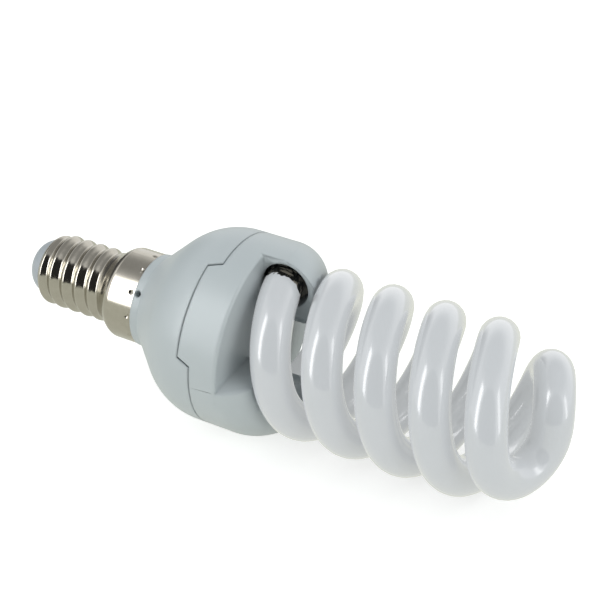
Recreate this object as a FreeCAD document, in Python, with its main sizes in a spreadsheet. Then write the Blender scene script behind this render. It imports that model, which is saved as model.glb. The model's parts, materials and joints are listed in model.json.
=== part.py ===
import FreeCAD, Part
import math
import operator
import os
from FreeCAD import Placement, Rotation, Vector

# Spiral energy saving lamp with a small screw cap, lying on its side.
# Every piece is drawn standing on the cap: the lamp's axis is Z, the centre
# contact is at zero, and X is the side that ends up on top when the lamp lies down.

doc = FreeCAD.newDocument("SpiralLamp")
sheet = doc.addObject("Spreadsheet::Sheet", "Sizes")

driving = {
    # screw cap
    "contactRadius": 2.3,
    "contactDome": 0.9,
    "contactShankRadius": 1.2,
    "contactShankEnd": 8.0,
    "contactBore": 0.5,
    "insulatorTip": 0.6,
    "insulatorTipRadius": 3.3,
    "insulatorRadius": 5.35,
    "insulatorShoulder": 3.9,
    "insulatorPlugRadius": 5.0,
    "insulatorEnd": 7.0,
    "shellSheet": 0.3,
    "shellStart": 3.7,
    "shellLipRadius": 5.75,
    "threadMeanRadius": 6.5,
    "threadHeight": 0.8,
    "threadPitch": 2.822,
    "threadCrest": 3.94,
    "threadStart": 4.7,
    "threadEnd": 17.4,
    "flareStart": 17.5,
    "flareEnd": 21.2,
    "skirtRadius": 8.6,
    "skirtEdge": 26.3,
    "crimpCount": 12,
    "crimpAngle": -5.0,
    "crimpInset": 0.75,
    "crimpRadius": 0.55,
    "crimpDepth": 0.24,
    # ballast housing
    "housingRadius": 17.85,
    "housingWall": 1.5,
    "domeRadius": 13.0,
    "coneAngle": 44.0,
    "neckStart": 22.3,
    "neckGap": 0.05,
    "neckBore": 6.7,
    "collarRadius": 8.75,
    "collarHeight": 1.524,
    "rimHeight": 1.95,
    "ventRadius": 0.6,
    "ventAngle": 54.5,
    "ventInset": 0.75,
    "ledgeWidth": 1.3,
    "ledgeThickness": 1.2,
    # seam between the housing and the cover
    "seamGap": 0.2,
    "tabDepth": 2.4,
    "tabAngle": 54.0,
    "tabHalfWidth": 8.1,
    "tabFlank": 1.0,
    # cover with its two tube humps
    "coverWall": 1.85,
    "coverHeight": 5.05,
    "floorThickness": 1.5,
    "rimRounding": 3.0,
    "lipThickness": 1.1,
    "lipGap": 0.1,
    "lipOverlap": 2.0,
    "beadRadius": 0.3,
    "beadHeight": 2.0,
    "humpHeight": 10.4,
    "humpRounding": 7.0,
    "humpDepth": 11.45,
    "humpInnerRounding": 1.5,
    "humpSpan": 89.5,
    "humpCutMargin": 3.0,
    "humpMouth": 7.0,
    "tubeWayRadius": 4.4,
    "wayBackWall": 4.2,
    "tubeWayOut": 0.45,
    "tubeWayUp": 0.55,
    # discharge tube
    "tubeRadius": 3.5,
    "coilInset": 5.69,
    "coilLead": 19.6,
    "coilRise": 3.26,
    "strandEnd": 813.0,
    "wireRoom": 39.3,
    "bridgeBend": 6.0,
    "bridgeRise": 6.15,
    "pinchLength": 4.6,
    "pinchThickness": 2.2,
    "pinchWidth": 5.9,
    "cementFrom": 25.0,
    "cementSpan": 14.0,
    "cementGap": 0.02,
    # ballast board, and the housing radius for which its parts are laid out
    "layoutRadius": 17.85,
    "boardDrop": 3.45,
    "boardThickness": 1.2,
    "boardGap": 0.15,
    "legRadius": 0.3,
    "legGap": 0.12,
    "legStub": 0.9,
    "legBend": 0.5,
    "solderFlare": 0.22,
    "solderHeight": 0.6,
    # choke
    "chokeX": -1.05,
    "chokeHeight": 8.0,
    "chokeWidth": 10.2,
    "chokeThickness": 4.8,
    "chokeLift": 0.5,
    "chokeOuterLeg": 1.3,
    "chokeWindow": 2.6,
    "chokeYoke": 1.2,
    "bobbinWall": 0.4,
    "bobbinFlange": 0.6,
    "bobbinDepth": 8.8,
    "bobbinGap": 0.05,
    "bobbinFoot": 1.6,
    "windingInset": 0.25,
    # smoothing capacitor in the cap
    "canRadius": 3.95,
    "canLength": 13.4,
    "canStart": 10.2,
    "canX": -1.7,
    "canPitch": 3.5,
    "canLegX": 5.9,
    # fuse resistor in the cap
    "fuseX": 4.0,
    "fuseRadius": 1.25,
    "fuseLength": 7.0,
    "fuseStart": 11.5,
    "sleeveWall": 0.25,
    "sleeveOverhang": 0.7,
    "leadRadius": 0.35,
    "leadBend": 1.2,
    "leadRun": 1.4,
    "leadRise": 8.0,
    "neutralStandoff": 2.5,
    "leadX": 2.4,
    "leadY": 5.4,
    # transistors
    "transistorRadius": 2.35,
    "transistorHeight": 4.6,
    "transistorFlat": 1.25,
    "transistorLift": 2.2,
    "transistorPitch": 1.27,
    "transistorX": -5.0,
    "transistorY": 7.1,
    # film capacitors
    "filmLength": 7.0,
    "filmWidth": 3.4,
    "filmHeight": 6.0,
    "filmPitch": 5.0,
    "filmX": 2.5,
    "filmY": 7.9,
    "startCapLength": 4.4,
    "startCapWidth": 2.4,
    "startCapHeight": 3.2,
    "startCapPitch": 2.5,
    "startCapX": -10.0,
    "startCapY": -6.2,
    # driver transformer
    "toroidRadius": 3.7,
    "toroidHole": 2.1,
    "toroidHeight": 2.6,
    "toroidLift": 0.05,
    "toroidX": -10.3,
    "toroidWire": 0.35,
    "toroidSpan": 60.0,
    # small parts lying on the board
    "diodeRadius": 1.2,
    "diodeLength": 4.2,
    "diodePitch": 6.4,
    "diodeX": 9.2,
    "diodeStep": 2.7,
    "diodeY": 4.1,
    "diacRadius": 0.9,
    "diacLength": 3.4,
    "smallPitch": 5.0,
    "diacX": -5.0,
    "diacY": -11.6,
    "resistorRadius": 0.9,
    "resistorLength": 3.2,
    "resistorPairX": 7.65,
    "resistorPairY": 10.1,
    "resistorLoneX": -7.3,
    "resistorLoneY": 10.0,
    # wrap pins and tube wires
    "pinWidth": 0.8,
    "pinHeight": 4.6,
    "pinInset": 5.25,
    "pinFromBack": 10.0,
    "pinSpread": 13.0,
    "tubeWireRadius": 0.25,
    "tubeWireSpread": 2.4,
    "tubeWireBend": 0.6,
    "tubeWireRun": 1.1,
}

for line, (name, value) in enumerate(driving.items(), start=1):
    sheet.set("A%d" % line, name)
    sheet.set("B%d" % line, str(value))
    sheet.setAlias("B%d" % line, name)
doc.recompute()


# A length or angle that keeps its number and the formula that ties it to the sheet
class Measure:
    def __init__(self, number, formula):
        self.number = float(number)
        self.formula = formula

    def __add__(self, other):
        return combine(self, "+", other)

    def __radd__(self, other):
        return combine(other, "+", self)

    def __sub__(self, other):
        return combine(self, "-", other)

    def __rsub__(self, other):
        return combine(other, "-", self)

    def __mul__(self, other):
        return combine(self, "*", other)

    def __rmul__(self, other):
        return combine(other, "*", self)

    def __truediv__(self, other):
        return combine(self, "/", other)

    def __neg__(self):
        return combine(0, "-", self)


arithmetic = {"+": operator.add, "-": operator.sub, "*": operator.mul, "/": operator.truediv}


def measured(value):
    if isinstance(value, Measure):
        return value
    return Measure(value, "(%r)" % float(value))


def combine(first, sign, second):
    first = measured(first)
    second = measured(second)
    number = arithmetic[sign](first.number, second.number)
    return Measure(number, "(%s %s %s)" % (first.formula, sign, second.formula))


def cosine(angle):
    angle = measured(angle)
    return Measure(math.cos(math.radians(angle.number)), "cos(%s * 1 deg)" % angle.formula)


def sine(angle):
    angle = measured(angle)
    return Measure(math.sin(math.radians(angle.number)), "sin(%s * 1 deg)" % angle.formula)


def tangent(angle):
    return sine(angle) / cosine(angle)


def root(value):
    return Measure(math.sqrt(value.number), "sqrt(%s)" % value.formula)


class Sizes:
    def __getattr__(self, name):
        return Measure(sheet.get(name), "Sizes.%s" % name)


size = Sizes()


# Sizes and places in the plane of the board, which shrink and grow with the housing
class Fitted:
    def __getattr__(self, name):
        return getattr(size, name) * size.housingRadius / size.layoutRadius


fit = Fitted()

# Radii and heights that follow from the driving sizes, from the cap upwards
neckRadius = size.skirtRadius - size.shellSheet - size.neckGap
domeSpineX = size.housingRadius - size.domeRadius
coneTopX = domeSpineX + size.domeRadius * cosine(size.coneAngle)
coneFootZ = size.skirtEdge + size.collarHeight
coneTopZ = coneFootZ + (coneTopX - size.collarRadius) / tangent(size.coneAngle)
domeCentre = coneTopZ + size.domeRadius * sine(size.coneAngle)
seamHeight = domeCentre + size.rimHeight
seamTab = seamHeight - size.tabDepth
boardTop = seamHeight - size.boardDrop
boardBottom = boardTop - size.boardThickness
beadZ = boardTop + size.beadHeight
coreTop = boardBottom - size.chokeLift
coreBottom = coreTop - size.chokeHeight
pinTop = boardTop + size.pinHeight
housingBore = size.housingRadius - size.housingWall
lipRadius = housingBore - size.lipGap
coverFloor = seamHeight + size.coverHeight
floorUnderside = coverFloor - size.floorThickness
humpTop = coverFloor + size.humpHeight
humpInner = size.housingRadius - size.humpDepth
coilRadius = size.housingRadius - size.coilInset
coilStart = coverFloor + size.coilRise
strandStart = size.humpMouth - size.humpSpan + size.wayBackWall + size.wireRoom
pinRing = size.housingRadius - size.pinInset
pinAngle = size.humpMouth - size.humpSpan + size.pinFromBack

# Beads and rolled grooves are shallow arcs, flatter than a half circle by this share, and the
# crown of a hump is a little flatter than a quarter circle
shallow = 1.25
crownFlatness = 1.06

pieces = []


def bind(thing, **properties):
    for name, value in properties.items():
        value = measured(value)
        thing.setExpression(name.replace("__", "."), value.formula)


# The outside of the dome at a height between the cone and the cylinder
def domeAt(height, wall=0):
    reach = size.domeRadius - wall
    rise = domeCentre - height
    return domeSpineX + root(reach * reach - rise * rise)


def newBody(label):
    body = doc.addObject("PartDesign::Body", label)
    body.Label = label
    pieces.append(body)
    return body


def originPlane(body, role):
    for feature in body.Origin.OriginFeatures:
        if feature.Role == role:
            return feature
    raise ValueError("no plane " + role)


def newSketch(body, name, role, turn=0, shift=0):
    sketch = body.newObject("Sketcher::SketchObject", name)
    sketch.AttachmentSupport = [(originPlane(body, role), "")]
    sketch.MapMode = "FlatFace"
    turn = measured(turn)
    shift = measured(shift)
    sketch.AttachmentOffset = Placement(Vector(shift.number, 0, 0), Rotation(Vector(0, 1, 0), turn.number))
    if "Sizes" in turn.formula:
        sketch.setExpression("AttachmentOffset.Rotation.Angle", turn.formula + " * 1 deg")
    if "Sizes" in shift.formula:
        sketch.setExpression("AttachmentOffset.Base.x", shift.formula)
    return sketch


def tie(sketch, kind, where, value):
    import Sketcher
    value = measured(value)
    index = sketch.addConstraint(Sketcher.Constraint(kind, *where, value.number))
    if "Sizes" in value.formula:
        sketch.setExpression("Constraints[%d]" % index, value.formula)


# A closed outline: each corner is (x, y), and a third value is the radius of the arc
# that leads to the next corner, positive when it bulges to the right of its way
def drawOutline(sketch, corners):
    import Sketcher
    count = len(corners)
    spots = [(measured(c[0]), measured(c[1])) for c in corners]
    first = sketch.GeometryCount
    ends = []
    for i in range(count):
        start = Vector(spots[i][0].number, spots[i][1].number, 0)
        end = Vector(spots[(i + 1) % count][0].number, spots[(i + 1) % count][1].number, 0)
        if len(corners[i]) == 2:
            sketch.addGeometry(Part.LineSegment(start, end), False)
            ends.append((1, 2))
            continue
        radius = measured(corners[i][2])
        reach = abs(radius.number)
        chord = end - start
        across = Vector(-chord.y, chord.x, 0).normalize()
        back = math.sqrt(max(reach * reach - chord.Length ** 2 / 4, 0))
        side = 1 if radius.number > 0 else -1
        centre = (start + end) / 2 + across * back * side
        startAngle = math.atan2(start.y - centre.y, start.x - centre.x)
        endAngle = math.atan2(end.y - centre.y, end.x - centre.x)
        circle = Part.Circle(centre, Vector(0, 0, 1), reach)
        if side > 0:
            sketch.addGeometry(Part.ArcOfCircle(circle, startAngle, endAngle), False)
            ends.append((1, 2))
        else:
            sketch.addGeometry(Part.ArcOfCircle(circle, endAngle, startAngle), False)
            ends.append((2, 1))
    for i in range(count):
        following = (i + 1) % count
        sketch.addConstraint(Sketcher.Constraint(
            "Coincident", first + i, ends[i][1], first + following, ends[following][0]))
    for i in range(count):
        geometry = first + i
        point = ends[i][0]
        if spots[i][0].number == 0:
            sketch.addConstraint(Sketcher.Constraint("PointOnObject", geometry, point, -2))
        else:
            tie(sketch, "DistanceX", (-1, 1, geometry, point), spots[i][0])
        if spots[i][1].number == 0:
            sketch.addConstraint(Sketcher.Constraint("PointOnObject", geometry, point, -1))
        else:
            tie(sketch, "DistanceY", (-1, 1, geometry, point), spots[i][1])
        if len(corners[i]) == 3:
            radius = measured(corners[i][2])
            tie(sketch, "Radius", (geometry,), radius if radius.number > 0 else -radius)
    return sketch


def drawCircle(sketch, x, y, radius):
    import Sketcher
    x = measured(x)
    y = measured(y)
    radius = measured(radius)
    geometry = sketch.addGeometry(
        Part.Circle(Vector(x.number, y.number, 0), Vector(0, 0, 1), radius.number), False)
    tie(sketch, "Radius", (geometry,), radius)
    if x.number == 0:
        sketch.addConstraint(Sketcher.Constraint("PointOnObject", geometry, 3, -2))
    else:
        tie(sketch, "DistanceX", (-1, 1, geometry, 3), x)
    if y.number == 0:
        sketch.addConstraint(Sketcher.Constraint("PointOnObject", geometry, 3, -1))
    else:
        tie(sketch, "DistanceY", (-1, 1, geometry, 3), y)
    return sketch


def turned(body, name, sketch, kind="Revolution", span=360):
    feature = body.newObject("PartDesign::" + kind, name)
    feature.Profile = sketch
    feature.ReferenceAxis = (sketch, ["V_Axis"])
    feature.Angle = measured(span).number
    if "Sizes" in measured(span).formula:
        feature.setExpression("Angle", measured(span).formula)
        feature.Midplane = True
    return feature


def wound(body, name, sketch, pitch, height, kind="AdditiveHelix"):
    feature = body.newObject("PartDesign::" + kind, name)
    feature.Profile = sketch
    feature.ReferenceAxis = (sketch, ["V_Axis"])
    feature.Mode = 0
    bind(feature, Pitch=pitch, Height=height)
    return feature


def pocket(body, name, sketch, length=None, reversed=False, midplane=False):
    feature = body.newObject("PartDesign::Pocket", name)
    feature.Profile = sketch
    feature.Reversed = reversed
    if midplane:
        feature.SideType = "Symmetric"
    if length is None:
        feature.Type = "ThroughAll"
    else:
        bind(feature, Length=length)
    return feature


def ringPattern(body, name, originals, count=2):
    pattern = body.newObject("PartDesign::PolarPattern", name)
    pattern.Originals = originals
    pattern.Axis = (originPlane(body, "Z_Axis"), [""])
    pattern.Angle = 360
    pattern.Occurrences = count
    body.Tip = pattern
    return pattern


# Plain solids for the small parts, each placed by its named position
def place(thing, x, y, z):
    bind(thing, Placement__Base__x=x, Placement__Base__y=y, Placement__Base__z=z)
    return thing


def block(name, length, width, height, x, y, z):
    thing = doc.addObject("Part::Box", name)
    bind(thing, Length=length, Width=width, Height=height)
    return place(thing, measured(x) - measured(length) / 2, measured(y) - measured(width) / 2, z)


def rod(name, radius, height, x, y, z):
    thing = doc.addObject("Part::Cylinder", name)
    bind(thing, Radius=radius, Height=height)
    return place(thing, x, y, z)


def lyingRod(name, radius, length, x, y, z, along):
    thing = doc.addObject("Part::Cylinder", name)
    bind(thing, Radius=radius, Height=length)
    half = measured(length) / 2
    if along == "x":
        thing.Placement = Placement(Vector(), Rotation(Vector(0, 1, 0), 90))
        return place(thing, measured(x) - half, y, z)
    thing.Placement = Placement(Vector(), Rotation(Vector(1, 0, 0), -90))
    return place(thing, x, measured(y) - half, z)


def joined(name, things):
    fuse = doc.addObject("Part::MultiFuse", name)
    fuse.Shapes = things
    return fuse


def less(name, base, tool):
    cut = doc.addObject("Part::Cut", name)
    cut.Base = base
    cut.Tool = tool
    return cut


def grouped(name, things):
    group = doc.addObject("Part::Compound", name)
    group.Links = things
    return group


def piece(label, thing):
    thing.Label = label
    pieces.append(thing)
    return thing


# A path of straight runs joined by tangent arcs
def roundedPath(points, bend):
    edges = []
    last = points[0]
    for before, corner, after in zip(points, points[1:], points[2:]):
        inward = (before - corner).normalize()
        outward = (after - corner).normalize()
        half = inward.getAngle(outward) / 2
        cut = min(bend / math.tan(half), 0.45 * min((before - corner).Length, (after - corner).Length))
        radius = cut * math.tan(half)
        entry = corner + inward * cut
        leave = corner + outward * cut
        middle = (inward + outward).normalize()
        centre = corner + middle * (radius / math.sin(half))
        edges.append(Part.LineSegment(last, entry).toShape())
        edges.append(Part.Arc(entry, centre - middle * radius, leave).toShape())
        last = leave
    edges.append(Part.LineSegment(last, points[-1]).toShape())
    return Part.Wire(edges)


def wireSolid(points, radius, bend):
    path = roundedPath(points, bend)
    start = (points[1] - points[0]).normalize()
    ring = Part.Wire([Part.Circle(points[0], start, radius).toShape()])
    return Part.Wire(path.Edges).makePipeShell([ring], True, False)


def shaped(label, shape):
    thing = doc.addObject("Part::Feature", label)
    thing.Shape = shape
    return piece(label, thing)


# Centre contact: a rivet with a domed head, its shank bored for the lead
def makeCentreContact():
    body = newBody("centre_contact")
    sketch = newSketch(body, "contact_section", "XZ_Plane")
    domeRadius = (size.contactRadius * size.contactRadius + size.contactDome * size.contactDome)
    domeRadius = domeRadius / (2 * size.contactDome)
    drawOutline(sketch, [
        (0, 0, domeRadius),
        (size.contactRadius, size.contactDome),
        (size.contactShankRadius, size.contactDome),
        (size.contactShankRadius, size.contactShankEnd),
        (size.contactBore, size.contactShankEnd),
        (size.contactBore, size.contactDome * 2),
        (0, size.contactDome * 2),
    ])
    turned(body, "contact_turned", sketch)


# Insulator: a moulded dome that closes the end of the screw shell
def makeCapInsulator():
    body = newBody("cap_insulator")
    sketch = newSketch(body, "insulator_section", "XZ_Plane")
    drawOutline(sketch, [
        (size.contactShankRadius, size.contactDome),
        (size.contactRadius, size.contactDome),
        (size.contactRadius, size.insulatorTip),
        (size.insulatorTipRadius, size.insulatorTip, size.insulatorShoulder),
        (size.insulatorRadius, size.insulatorShoulder),
        (size.insulatorPlugRadius, size.insulatorShoulder),
        (size.insulatorPlugRadius, size.insulatorEnd),
        (size.contactShankRadius, size.insulatorEnd),
    ])
    turned(body, "insulator_turned", sketch)


def smoothStep(low, high, value):
    share = min(max((value - low) / (high - low), 0), 1)
    return share * share * (3 - 2 * share)


# Half profile of the rolled shell: a lip, the mean radius of the thread, the flare, the skirt
def shellRadius(height):
    lip = size.shellLipRadius.number
    mean = size.threadMeanRadius.number
    skirt = size.skirtRadius.number
    start = size.shellStart.number
    if height < size.flareStart.number:
        return lip + (mean - lip) * math.sin(
            0.5 * math.pi * min(max((height - start) / (size.threadStart.number - start), 0), 1))
    return mean + (skirt - mean) * smoothStep(size.flareStart.number, size.flareEnd.number, height)


# The knuckle thread is a wave on that profile, whose crest climbs one pitch a turn
def threadWave(height, angle):
    pitch = size.threadPitch.number
    runIn = smoothStep(size.threadStart.number - pitch / 3, size.threadStart.number + pitch / 3, height)
    runOut = 1 - smoothStep(size.threadEnd.number - pitch / 3, size.threadEnd.number + pitch / 3, height)
    wave = math.cos(2 * math.pi * (height - size.threadCrest.number) / pitch - angle)
    return size.threadHeight.number / 2 * runIn * runOut * wave


def threadedWall(sheet, bottom, top):
    around = 24
    rows = int((top - bottom) / (size.threadPitch.number / 7))
    spread = 3 / (2 + math.cos(2 * math.pi / around))
    poles = []
    for i in range(around):
        angle = 2 * math.pi * i / around
        column = []
        for j in range(rows + 1):
            height = bottom + (top - bottom) * j / rows
            radius = (shellRadius(height) + threadWave(height, angle) - sheet) * spread
            column.append(Vector(radius * math.cos(angle), radius * math.sin(angle), height))
        poles.append(column)
    surface = Part.BSplineSurface()
    spans = rows - 2
    surface.buildFromPolesMultsKnots(
        poles,
        [1] * (around + 1),
        [4] + [1] * (spans - 1) + [4],
        [float(i) for i in range(around + 1)],
        [float(i) for i in range(spans + 1)],
        True, False, 3, 3)
    return surface.toShape()


def flatRings(wall):
    rings = [edge for edge in wall.Edges if edge.BoundBox.ZLength < 0.01]
    return sorted(rings, key=lambda edge: edge.BoundBox.ZMin)


# Screw shell: one drawn and rolled sheet with the thread, the skirt and its ring of crimps
def makeScrewShell():
    foot = size.flareEnd.number
    edge = size.skirtEdge.number
    outside = threadedWall(0, size.shellStart.number, foot)
    inside = threadedWall(size.shellSheet.number, size.shellStart.number, foot)
    rims = [
        Part.makeRuledSurface(outer, inner)
        for outer, inner in zip(flatRings(outside), flatRings(inside))
    ]
    skin = Part.Shell([outside.Faces[0], inside.Faces[0]] + rims)
    skin.sewShape()
    skirt = Part.makeCylinder(size.skirtRadius.number, edge - foot, Vector(0, 0, foot))
    skirtBore = Part.makeCylinder(
        size.skirtRadius.number - size.shellSheet.number, edge - foot, Vector(0, 0, foot))
    shell = Part.Solid(skin).multiFuse([skirt.cut(skirtBore)], size.shellSheet.number / 100)
    punches = []
    for i in range(int(size.crimpCount.number)):
        angle = math.radians(size.crimpAngle.number + 360 * i / size.crimpCount.number)
        outward = Vector(math.cos(angle), math.sin(angle), 0)
        depth = size.crimpDepth.number
        reach = size.skirtRadius.number - depth
        tip = outward * reach + Vector(0, 0, edge - size.crimpInset.number)
        punches.append(Part.makeCone(0, 2 * size.crimpRadius.number, 2 * depth, tip, outward))
    shaped("screw_shell", shell.cut(Part.makeCompound(punches)))


# Where the notches of the housing and the tabs of the cover have their flanks
def tabOutline(gap):
    foot = size.tabHalfWidth + gap
    shoulder = size.tabHalfWidth + size.tabFlank + gap
    return foot, shoulder


# Ballast housing: neck, cone, dome and notched rim in one moulding
def makeBallastHousing():
    body = newBody("ballast_housing")
    sketch = newSketch(body, "housing_section", "XZ_Plane")
    wall = size.housingWall
    innerDome = size.domeRadius - wall
    innerTopX = domeSpineX + innerDome * cosine(size.coneAngle)
    innerTopZ = domeCentre - innerDome * sine(size.coneAngle)
    innerFootZ = innerTopZ - (innerTopX - size.neckBore) / tangent(size.coneAngle)
    ledgeUnder = boardBottom - size.ledgeThickness
    ledgeOuter = domeAt(boardBottom, wall)
    grooveRadius = size.beadRadius + size.lipGap
    drawOutline(sketch, [
        (size.neckBore, size.neckStart),
        (neckRadius, size.neckStart),
        (neckRadius, size.skirtEdge),
        (size.collarRadius, size.skirtEdge),
        (size.collarRadius, coneFootZ),
        (coneTopX, coneTopZ, size.domeRadius),
        (size.housingRadius, domeCentre),
        (size.housingRadius, seamHeight - size.seamGap),
        (housingBore, seamHeight - size.seamGap),
        (housingBore, beadZ + grooveRadius, -grooveRadius * shallow),
        (housingBore, beadZ - grooveRadius),
        (housingBore, domeCentre, -innerDome),
        (ledgeOuter, boardBottom),
        (ledgeOuter - size.ledgeWidth, boardBottom),
        (ledgeOuter - size.ledgeWidth, ledgeUnder),
        (domeAt(ledgeUnder, wall), ledgeUnder, -innerDome),
        (innerTopX, innerTopZ),
        (size.neckBore, innerFootZ),
    ])
    turned(body, "housing_turned", sketch)

    notch = newSketch(body, "notch_outline", "XZ_Plane", turn=size.tabAngle + 90)
    foot, shoulder = tabOutline(size.seamGap)
    top = seamHeight + size.tabDepth
    drawOutline(notch, [
        (-foot, seamTab - size.seamGap),
        (foot, seamTab - size.seamGap),
        (shoulder, seamHeight - size.seamGap),
        (shoulder, top),
        (-shoulder, top),
        (-shoulder, seamHeight - size.seamGap),
    ])
    pocket(body, "notches", notch, midplane=True)

    vent = newSketch(body, "vent_outline", "XZ_Plane", turn=size.ventAngle + 90)
    drawCircle(vent, 0, size.skirtEdge + size.ventInset, size.ventRadius)
    pocket(body, "vent", vent, length=size.housingRadius, reversed=True)


# Tube cover: a cup that snaps into the housing, with a hump over each end of the tube. The
# crown of a hump climbs with the tube inside it, and a helical way for the tube runs through
# one hump and along the other
def makeTubeCover():
    body = newBody("tube_cover")
    radius = size.housingRadius
    bore = radius - size.coverWall
    sketch = newSketch(body, "cup_section", "XZ_Plane")
    drawOutline(sketch, [
        (radius, seamTab),
        (radius, coverFloor - size.rimRounding, size.rimRounding),
        (radius - size.rimRounding, coverFloor),
        (0, coverFloor),
        (0, floorUnderside),
        (bore, floorUnderside),
        (bore, seamTab),
    ])
    turned(body, "cup_turned", sketch)

    gaps = newSketch(body, "gap_outline", "XZ_Plane", turn=size.tabAngle + 90)
    foot, shoulder = tabOutline(0)
    low = seamTab - size.tabDepth
    far = radius + size.coverWall
    for side in (1, -1):
        drawOutline(gaps, [
            (side * foot, low),
            (side * far, low),
            (side * far, seamHeight),
            (side * shoulder, seamHeight),
            (side * foot, seamTab),
        ])
    pocket(body, "tab_gaps", gaps, midplane=True)

    lip = newSketch(body, "lip_section", "XZ_Plane")
    lipTop = seamHeight + size.lipOverlap
    drawOutline(lip, [
        (lipRadius - size.lipThickness, boardTop),
        (lipRadius, boardTop),
        (lipRadius, beadZ - size.beadRadius, size.beadRadius * shallow),
        (lipRadius, beadZ + size.beadRadius),
        (lipRadius, lipTop),
        (lipRadius - size.lipThickness, lipTop),
    ])
    turned(body, "lip", lip)

    hump = newSketch(body, "hump_section", "XZ_Plane", turn=size.humpMouth - size.humpSpan / 2)
    drawOutline(hump, [
        (humpInner, floorUnderside),
        (bore, floorUnderside),
        (bore, coverFloor - size.rimRounding),
        (radius, coverFloor - size.rimRounding),
        (radius, humpTop + size.coverWall),
        (humpInner, humpTop + size.coverWall),
    ])
    humpSolid = turned(body, "hump", hump, span=size.humpSpan)

    margin = size.humpCutMargin
    behind = size.humpSpan - size.humpMouth + margin
    backTop = humpTop - size.coilLead * (size.humpSpan + margin) / 360
    crown = newSketch(body, "hump_crown_section", "XZ_Plane", turn=-behind)
    far = size.coverWall + size.humpRounding
    drawOutline(crown, [
        (humpInner - far, backTop - size.humpInnerRounding),
        (humpInner, backTop - size.humpInnerRounding, -size.humpInnerRounding * shallow),
        (humpInner + size.humpInnerRounding, backTop),
        (radius - size.humpRounding, backTop, -size.humpRounding * crownFlatness),
        (radius, backTop - size.humpRounding),
        (radius + far, backTop - size.humpRounding),
        (radius + far, backTop + far),
        (humpInner - far, backTop + far),
    ])
    crownTurn = size.humpSpan + 2 * margin
    crownCut = wound(body, "hump_crown", crown, size.coilLead, size.coilLead * crownTurn / 360,
                     "SubtractiveHelix")
    ringPattern(body, "humps", [humpSolid, crownCut])

    backwards = size.humpSpan - size.humpMouth - size.wayBackWall
    way = newSketch(body, "tube_way_section", "XZ_Plane", turn=-backwards)
    wayZ = coilStart + size.tubeWayUp - size.coilLead * backwards / 360
    drawCircle(way, coilRadius + size.tubeWayOut, wayZ, size.tubeWayRadius)
    wayLength = size.coilLead * (backwards + size.humpMouth + 180) / 360
    cut = wound(body, "tube_way", way, size.coilLead, wayLength, "SubtractiveHelix")
    ringPattern(body, "tube_ways", [cut])


# Height of the tube's centre line on its first strand, at an angle in degrees
def strandPoint(angle):
    lead = size.coilLead.number
    radius = coilRadius.number
    turn = math.radians(angle)
    height = coilStart.number + lead * angle / 360
    return Vector(radius * math.cos(turn), radius * math.sin(turn), height)


def strandHelix(first, last):
    rise = size.coilLead.number * (last - first) / 360
    helix = Part.makeHelix(size.coilLead.number, rise, coilRadius.number)
    helix.Placement = Placement(
        Vector(0, 0, strandPoint(first).z), Rotation(Vector(0, 0, 1), first))
    return helix


# Half of the bridge, from the end of a strand round a bend to the lamp's axis, where the
# second half meets it turned by half a turn
def bridgePoints(count=9):
    bend = size.bridgeBend.number
    radius = coilRadius.number
    end = size.strandEnd.number
    reach = radius - bend
    straight = math.sqrt(max(reach * reach - bend * bend, 0))
    turn = math.pi - math.acos(min(bend / reach, 1))
    length = bend * turn + straight
    slope = size.coilLead.number / (2 * math.pi * radius) * length
    start = strandPoint(end).z
    points = []
    for i in range(count + 1):
        share = i / count
        way = length * share
        if way <= bend * turn:
            angle = math.radians(end) + way / bend
            flat = Vector(math.cos(math.radians(end)), math.sin(math.radians(end)), 0) * reach
            spot = flat + Vector(math.cos(angle), math.sin(angle), 0) * bend
        else:
            angle = math.radians(end) + turn
            flat = Vector(math.cos(math.radians(end)), math.sin(math.radians(end)), 0) * reach
            edge = flat + Vector(math.cos(angle), math.sin(angle), 0) * bend
            spot = edge * ((length - way) / straight)
        eased = share - 2 * share ** 2 + share ** 3
        risen = 3 * share ** 2 - 2 * share ** 3
        height = start + slope * eased + size.bridgeRise.number * risen
        points.append(Vector(spot.x, spot.y, height))
    return points


def halfTurned(shape):
    copy = shape.copy()
    copy.rotate(Vector(), Vector(0, 0, 1), 180)
    return copy


def strandTangent(angle):
    turn = math.radians(angle)
    slope = size.coilLead.number / (2 * math.pi * coilRadius.number)
    return Vector(-math.sin(turn), math.cos(turn), slope).normalize()


def tubeAlong(path, start, direction, radius, frenet):
    ring = Part.Wire([Part.Circle(start, direction, radius).toShape()])
    return path.makePipeShell([ring], True, frenet)


# Spiral tube: two strands wound side by side, joined at the far end by a bridge over the
# axis, and each sealed by a flat pinch inside its hump
def makeSpiralTube():
    radius = size.tubeRadius.number
    first = strandStart.number
    last = size.strandEnd.number
    strand = tubeAlong(strandHelix(first, last), strandPoint(first), strandTangent(first), radius, True)
    half = bridgePoints()
    other = [Vector(-p.x, -p.y, p.z) for p in reversed(half[:-1])]
    points = half + other
    lengths = [0.0]
    for before, after in zip(points, points[1:]):
        lengths.append(lengths[-1] + (after - before).Length)
    spline = Part.BSplineCurve()
    flip = strandTangent(last)
    spline.interpolate(
        Points=points,
        Parameters=lengths,
        InitialTangent=strandTangent(last),
        FinalTangent=Vector(flip.x, flip.y, -flip.z),
        Scale=False)
    bridge = tubeAlong(Part.Wire([spline.toShape()]), half[0], strandTangent(last), radius, False)
    pinch = makePinch(first)
    return strand.multiFuse([halfTurned(strand), bridge, pinch, halfTurned(pinch)])


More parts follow.
